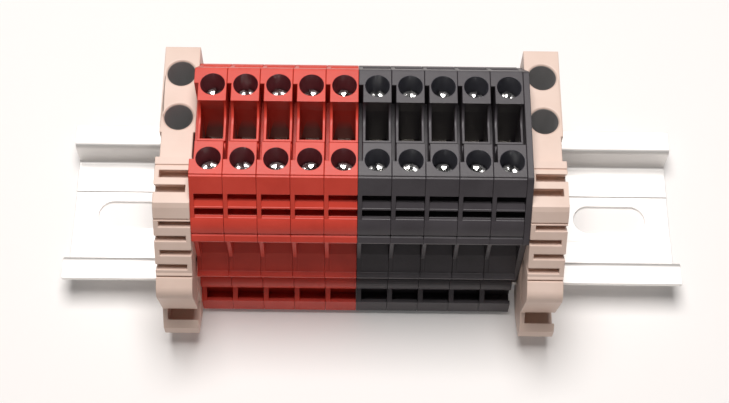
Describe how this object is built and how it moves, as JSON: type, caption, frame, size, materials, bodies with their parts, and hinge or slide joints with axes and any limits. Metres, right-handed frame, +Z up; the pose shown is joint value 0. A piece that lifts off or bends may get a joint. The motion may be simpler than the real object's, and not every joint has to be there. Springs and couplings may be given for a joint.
{
  "type": "rail-mounted terminal strip",
  "caption": "Row of red and black feed-through screw terminal blocks with rising clamps, closed by an end cover and held on a top-hat rail by two end brackets.",
  "frame": {"origin": "middle of the rail's underside, midway between the two free fixing slots", "axes": "+X along the rail towards the black blocks, +Y to the rear, +Z up from the back panel"},
  "size_m": [0.125, 0.0498, 0.0415],
  "materials": {
    "bright_aluminium": "bright, satin drawn",
    "red_polyamide": "moulded, fine satin",
    "black_polyamide": "moulded, fine satin",
    "beige_polyamide": "moulded, fine satin",
    "plated_steel": "bright zinc plated",
    "tinned_brass": "tin plated"
  },
  "bodies": {
    "strip": {"mounting_rail": "bright_aluminium", "red_housing_1": "red_polyamide", "red_housing_2": "red_polyamide", "red_housing_3": "red_polyamide", "red_housing_4": "red_polyamide", "red_housing_5": "red_polyamide", "black_housing_1": "black_polyamide", "black_housing_2": "black_polyamide", "black_housing_3": "black_polyamide", "black_housing_4": "black_polyamide", "black_housing_5": "black_polyamide", "red_bank_bars": "tinned_brass", "black_bank_bars": "tinned_brass", "end_cover": "black_polyamide", "left_end_bracket": "beige_polyamide", "right_end_bracket": "beige_polyamide"},
    "red_front_screw_1": {"red_front_screw_1": "plated_steel"},
    "red_front_clamp_1": {"red_front_clamp_1": "plated_steel"},
    "red_front_screw_2": {"red_front_screw_2": "plated_steel"},
    "red_front_clamp_2": {"red_front_clamp_2": "plated_steel"},
    "red_front_screw_3": {"red_front_screw_3": "plated_steel"},
    "red_front_clamp_3": {"red_front_clamp_3": "plated_steel"},
    "red_front_screw_4": {"red_front_screw_4": "plated_steel"},
    "red_front_clamp_4": {"red_front_clamp_4": "plated_steel"},
    "red_front_screw_5": {"red_front_screw_5": "plated_steel"},
    "red_front_clamp_5": {"red_front_clamp_5": "plated_steel"},
    "red_rear_screw_1": {"red_rear_screw_1": "plated_steel"},
    "red_rear_clamp_1": {"red_rear_clamp_1": "plated_steel"},
    "red_rear_screw_2": {"red_rear_screw_2": "plated_steel"},
    "red_rear_clamp_2": {"red_rear_clamp_2": "plated_steel"},
    "red_rear_screw_3": {"red_rear_screw_3": "plated_steel"},
    "red_rear_clamp_3": {"red_rear_clamp_3": "plated_steel"},
    "red_rear_screw_4": {"red_rear_screw_4": "plated_steel"},
    "red_rear_clamp_4": {"red_rear_clamp_4": "plated_steel"},
    "red_rear_screw_5": {"red_rear_screw_5": "plated_steel"},
    "red_rear_clamp_5": {"red_rear_clamp_5": "plated_steel"},
    "black_front_screw_1": {"black_front_screw_1": "plated_steel"},
    "black_front_clamp_1": {"black_front_clamp_1": "plated_steel"},
    "black_front_screw_2": {"black_front_screw_2": "plated_steel"},
    "black_front_clamp_2": {"black_front_clamp_2": "plated_steel"},
    "black_front_screw_3": {"black_front_screw_3": "plated_steel"},
    "black_front_clamp_3": {"black_front_clamp_3": "plated_steel"},
    "black_front_screw_4": {"black_front_screw_4": "plated_steel"},
    "black_front_clamp_4": {"black_front_clamp_4": "plated_steel"},
    "black_front_screw_5": {"black_front_screw_5": "plated_steel"},
    "black_front_clamp_5": {"black_front_clamp_5": "plated_steel"},
    "black_rear_screw_1": {"black_rear_screw_1": "plated_steel"},
    "black_rear_clamp_1": {"black_rear_clamp_1": "plated_steel"},
    "black_rear_screw_2": {"black_rear_screw_2": "plated_steel"},
    "black_rear_clamp_2": {"black_rear_clamp_2": "plated_steel"},
    "black_rear_screw_3": {"black_rear_screw_3": "plated_steel"},
    "black_rear_clamp_3": {"black_rear_clamp_3": "plated_steel"},
    "black_rear_screw_4": {"black_rear_screw_4": "plated_steel"},
    "black_rear_clamp_4": {"black_rear_clamp_4": "plated_steel"},
    "black_rear_screw_5": {"black_rear_screw_5": "plated_steel"},
    "black_rear_clamp_5": {"black_rear_clamp_5": "plated_steel"}
  },
  "joints": [
    {"name": "red_front_screw_1_turn", "type": "hinge", "parent": "strip", "child": "red_front_screw_1", "pos_m": [-0.0307, -0.00785, 0.0356], "axis": [0, 0, -1], "range_deg": [0, 2160]},
    {"name": "red_front_clamp_1_lift", "type": "slide", "parent": "strip", "child": "red_front_clamp_1", "axis": [0, 0, 1], "range_m": [0, 0.003]},
    {"name": "red_front_screw_2_turn", "type": "hinge", "parent": "strip", "child": "red_front_screw_2", "pos_m": [-0.0245, -0.00785, 0.0356], "axis": [0, 0, -1], "range_deg": [0, 2160]},
    {"name": "red_front_clamp_2_lift", "type": "slide", "parent": "strip", "child": "red_front_clamp_2", "axis": [0, 0, 1], "range_m": [0, 0.003]},
    {"name": "red_front_screw_3_turn", "type": "hinge", "parent": "strip", "child": "red_front_screw_3", "pos_m": [-0.0183, -0.00785, 0.0356], "axis": [0, 0, -1], "range_deg": [0, 2160]},
    {"name": "red_front_clamp_3_lift", "type": "slide", "parent": "strip", "child": "red_front_clamp_3", "axis": [0, 0, 1], "range_m": [0, 0.003]},
    {"name": "red_front_screw_4_turn", "type": "hinge", "parent": "strip", "child": "red_front_screw_4", "pos_m": [-0.0121, -0.00785, 0.0356], "axis": [0, 0, -1], "range_deg": [0, 2160]},
    {"name": "red_front_clamp_4_lift", "type": "slide", "parent": "strip", "child": "red_front_clamp_4", "axis": [0, 0, 1], "range_m": [0, 0.003]},
    {"name": "red_front_screw_5_turn", "type": "hinge", "parent": "strip", "child": "red_front_screw_5", "pos_m": [-0.0059, -0.00785, 0.0356], "axis": [0, 0, -1], "range_deg": [0, 2160]},
    {"name": "red_front_clamp_5_lift", "type": "slide", "parent": "strip", "child": "red_front_clamp_5", "axis": [0, 0, 1], "range_m": [0, 0.003]},
    {"name": "red_rear_screw_1_turn", "type": "hinge", "parent": "strip", "child": "red_rear_screw_1", "pos_m": [-0.0307, 0.00785, 0.0356], "axis": [0, 0, -1], "range_deg": [0, 2160]},
    {"name": "red_rear_clamp_1_lift", "type": "slide", "parent": "strip", "child": "red_rear_clamp_1", "axis": [0, 0, 1], "range_m": [0, 0.003]},
    {"name": "red_rear_screw_2_turn", "type": "hinge", "parent": "strip", "child": "red_rear_screw_2", "pos_m": [-0.0245, 0.00785, 0.0356], "axis": [0, 0, -1], "range_deg": [0, 2160]},
    {"name": "red_rear_clamp_2_lift", "type": "slide", "parent": "strip", "child": "red_rear_clamp_2", "axis": [0, 0, 1], "range_m": [0, 0.003]},
    {"name": "red_rear_screw_3_turn", "type": "hinge", "parent": "strip", "child": "red_rear_screw_3", "pos_m": [-0.0183, 0.00785, 0.0356], "axis": [0, 0, -1], "range_deg": [0, 2160]},
    {"name": "red_rear_clamp_3_lift", "type": "slide", "parent": "strip", "child": "red_rear_clamp_3", "axis": [0, 0, 1], "range_m": [0, 0.003]},
    {"name": "red_rear_screw_4_turn", "type": "hinge", "parent": "strip", "child": "red_rear_screw_4", "pos_m": [-0.0121, 0.00785, 0.0356], "axis": [0, 0, -1], "range_deg": [0, 2160]},
    {"name": "red_rear_clamp_4_lift", "type": "slide", "parent": "strip", "child": "red_rear_clamp_4", "axis": [0, 0, 1], "range_m": [0, 0.003]},
    {"name": "red_rear_screw_5_turn", "type": "hinge", "parent": "strip", "child": "red_rear_screw_5", "pos_m": [-0.0059, 0.00785, 0.0356], "axis": [0, 0, -1], "range_deg": [0, 2160]},
    {"name": "red_rear_clamp_5_lift", "type": "slide", "parent": "strip", "child": "red_rear_clamp_5", "axis": [0, 0, 1], "range_m": [0, 0.003]},
    {"name": "black_front_screw_1_turn", "type": "hinge", "parent": "strip", "child": "black_front_screw_1", "pos_m": [0.0003, -0.00785, 0.0356], "axis": [0, 0, -1], "range_deg": [0, 2160]},
    {"name": "black_front_clamp_1_lift", "type": "slide", "parent": "strip", "child": "black_front_clamp_1", "axis": [0, 0, 1], "range_m": [0, 0.003]},
    {"name": "black_front_screw_2_turn", "type": "hinge", "parent": "strip", "child": "black_front_screw_2", "pos_m": [0.0065, -0.00785, 0.0356], "axis": [0, 0, -1], "range_deg": [0, 2160]},
    {"name": "black_front_clamp_2_lift", "type": "slide", "parent": "strip", "child": "black_front_clamp_2", "axis": [0, 0, 1], "range_m": [0, 0.003]},
    {"name": "black_front_screw_3_turn", "type": "hinge", "parent": "strip", "child": "black_front_screw_3", "pos_m": [0.0127, -0.00785, 0.0356], "axis": [0, 0, -1], "range_deg": [0, 2160]},
    {"name": "black_front_clamp_3_lift", "type": "slide", "parent": "strip", "child": "black_front_clamp_3", "axis": [0, 0, 1], "range_m": [0, 0.003]},
    {"name": "black_front_screw_4_turn", "type": "hinge", "parent": "strip", "child": "black_front_screw_4", "pos_m": [0.0189, -0.00785, 0.0356], "axis": [0, 0, -1], "range_deg": [0, 2160]},
    {"name": "black_front_clamp_4_lift", "type": "slide", "parent": "strip", "child": "black_front_clamp_4", "axis": [0, 0, 1], "range_m": [0, 0.003]},
    {"name": "black_front_screw_5_turn", "type": "hinge", "parent": "strip", "child": "black_front_screw_5", "pos_m": [0.0251, -0.00785, 0.0356], "axis": [0, 0, -1], "range_deg": [0, 2160]},
    {"name": "black_front_clamp_5_lift", "type": "slide", "parent": "strip", "child": "black_front_clamp_5", "axis": [0, 0, 1], "range_m": [0, 0.003]},
    {"name": "black_rear_screw_1_turn", "type": "hinge", "parent": "strip", "child": "black_rear_screw_1", "pos_m": [0.0003, 0.00785, 0.0356], "axis": [0, 0, -1], "range_deg": [0, 2160]},
    {"name": "black_rear_clamp_1_lift", "type": "slide", "parent": "strip", "child": "black_rear_clamp_1", "axis": [0, 0, 1], "range_m": [0, 0.003]},
    {"name": "black_rear_screw_2_turn", "type": "hinge", "parent": "strip", "child": "black_rear_screw_2", "pos_m": [0.0065, 0.00785, 0.0356], "axis": [0, 0, -1], "range_deg": [0, 2160]},
    {"name": "black_rear_clamp_2_lift", "type": "slide", "parent": "strip", "child": "black_rear_clamp_2", "axis": [0, 0, 1], "range_m": [0, 0.003]},
    {"name": "black_rear_screw_3_turn", "type": "hinge", "parent": "strip", "child": "black_rear_screw_3", "pos_m": [0.0127, 0.00785, 0.0356], "axis": [0, 0, -1], "range_deg": [0, 2160]},
    {"name": "black_rear_clamp_3_lift", "type": "slide", "parent": "strip", "child": "black_rear_clamp_3", "axis": [0, 0, 1], "range_m": [0, 0.003]},
    {"name": "black_rear_screw_4_turn", "type": "hinge", "parent": "strip", "child": "black_rear_screw_4", "pos_m": [0.0189, 0.00785, 0.0356], "axis": [0, 0, -1], "range_deg": [0, 2160]},
    {"name": "black_rear_clamp_4_lift", "type": "slide", "parent": "strip", "child": "black_rear_clamp_4", "axis": [0, 0, 1], "range_m": [0, 0.003]},
    {"name": "black_rear_screw_5_turn", "type": "hinge", "parent": "strip", "child": "black_rear_screw_5", "pos_m": [0.0251, 0.00785, 0.0356], "axis": [0, 0, -1], "range_deg": [0, 2160]},
    {"name": "black_rear_clamp_5_lift", "type": "slide", "parent": "strip", "child": "black_rear_clamp_5", "axis": [0, 0, 1], "range_m": [0, 0.003]}
  ],
  "couplings": [
    {"joint": "red_front_screw_1_turn", "follows": "red_front_clamp_1_lift", "rad_per_m": 12566},
    {"joint": "red_front_screw_2_turn", "follows": "red_front_clamp_2_lift", "rad_per_m": 12566},
    {"joint": "red_front_screw_3_turn", "follows": "red_front_clamp_3_lift", "rad_per_m": 12566},
    {"joint": "red_front_screw_4_turn", "follows": "red_front_clamp_4_lift", "rad_per_m": 12566},
    {"joint": "red_front_screw_5_turn", "follows": "red_front_clamp_5_lift", "rad_per_m": 12566},
    {"joint": "red_rear_screw_1_turn", "follows": "red_rear_clamp_1_lift", "rad_per_m": 12566},
    {"joint": "red_rear_screw_2_turn", "follows": "red_rear_clamp_2_lift", "rad_per_m": 12566},
    {"joint": "red_rear_screw_3_turn", "follows": "red_rear_clamp_3_lift", "rad_per_m": 12566},
    {"joint": "red_rear_screw_4_turn", "follows": "red_rear_clamp_4_lift", "rad_per_m": 12566},
    {"joint": "red_rear_screw_5_turn", "follows": "red_rear_clamp_5_lift", "rad_per_m": 12566},
    {"joint": "black_front_screw_1_turn", "follows": "black_front_clamp_1_lift", "rad_per_m": 12566},
    {"joint": "black_front_screw_2_turn", "follows": "black_front_clamp_2_lift", "rad_per_m": 12566},
    {"joint": "black_front_screw_3_turn", "follows": "black_front_clamp_3_lift", "rad_per_m": 12566},
    {"joint": "black_front_screw_4_turn", "follows": "black_front_clamp_4_lift", "rad_per_m": 12566},
    {"joint": "black_front_screw_5_turn", "follows": "black_front_clamp_5_lift", "rad_per_m": 12566},
    {"joint": "black_rear_screw_1_turn", "follows": "black_rear_clamp_1_lift", "rad_per_m": 12566},
    {"joint": "black_rear_screw_2_turn", "follows": "black_rear_clamp_2_lift", "rad_per_m": 12566},
    {"joint": "black_rear_screw_3_turn", "follows": "black_rear_clamp_3_lift", "rad_per_m": 12566},
    {"joint": "black_rear_screw_4_turn", "follows": "black_rear_clamp_4_lift", "rad_per_m": 12566},
    {"joint": "black_rear_screw_5_turn", "follows": "black_rear_clamp_5_lift", "rad_per_m": 12566}
  ]
}
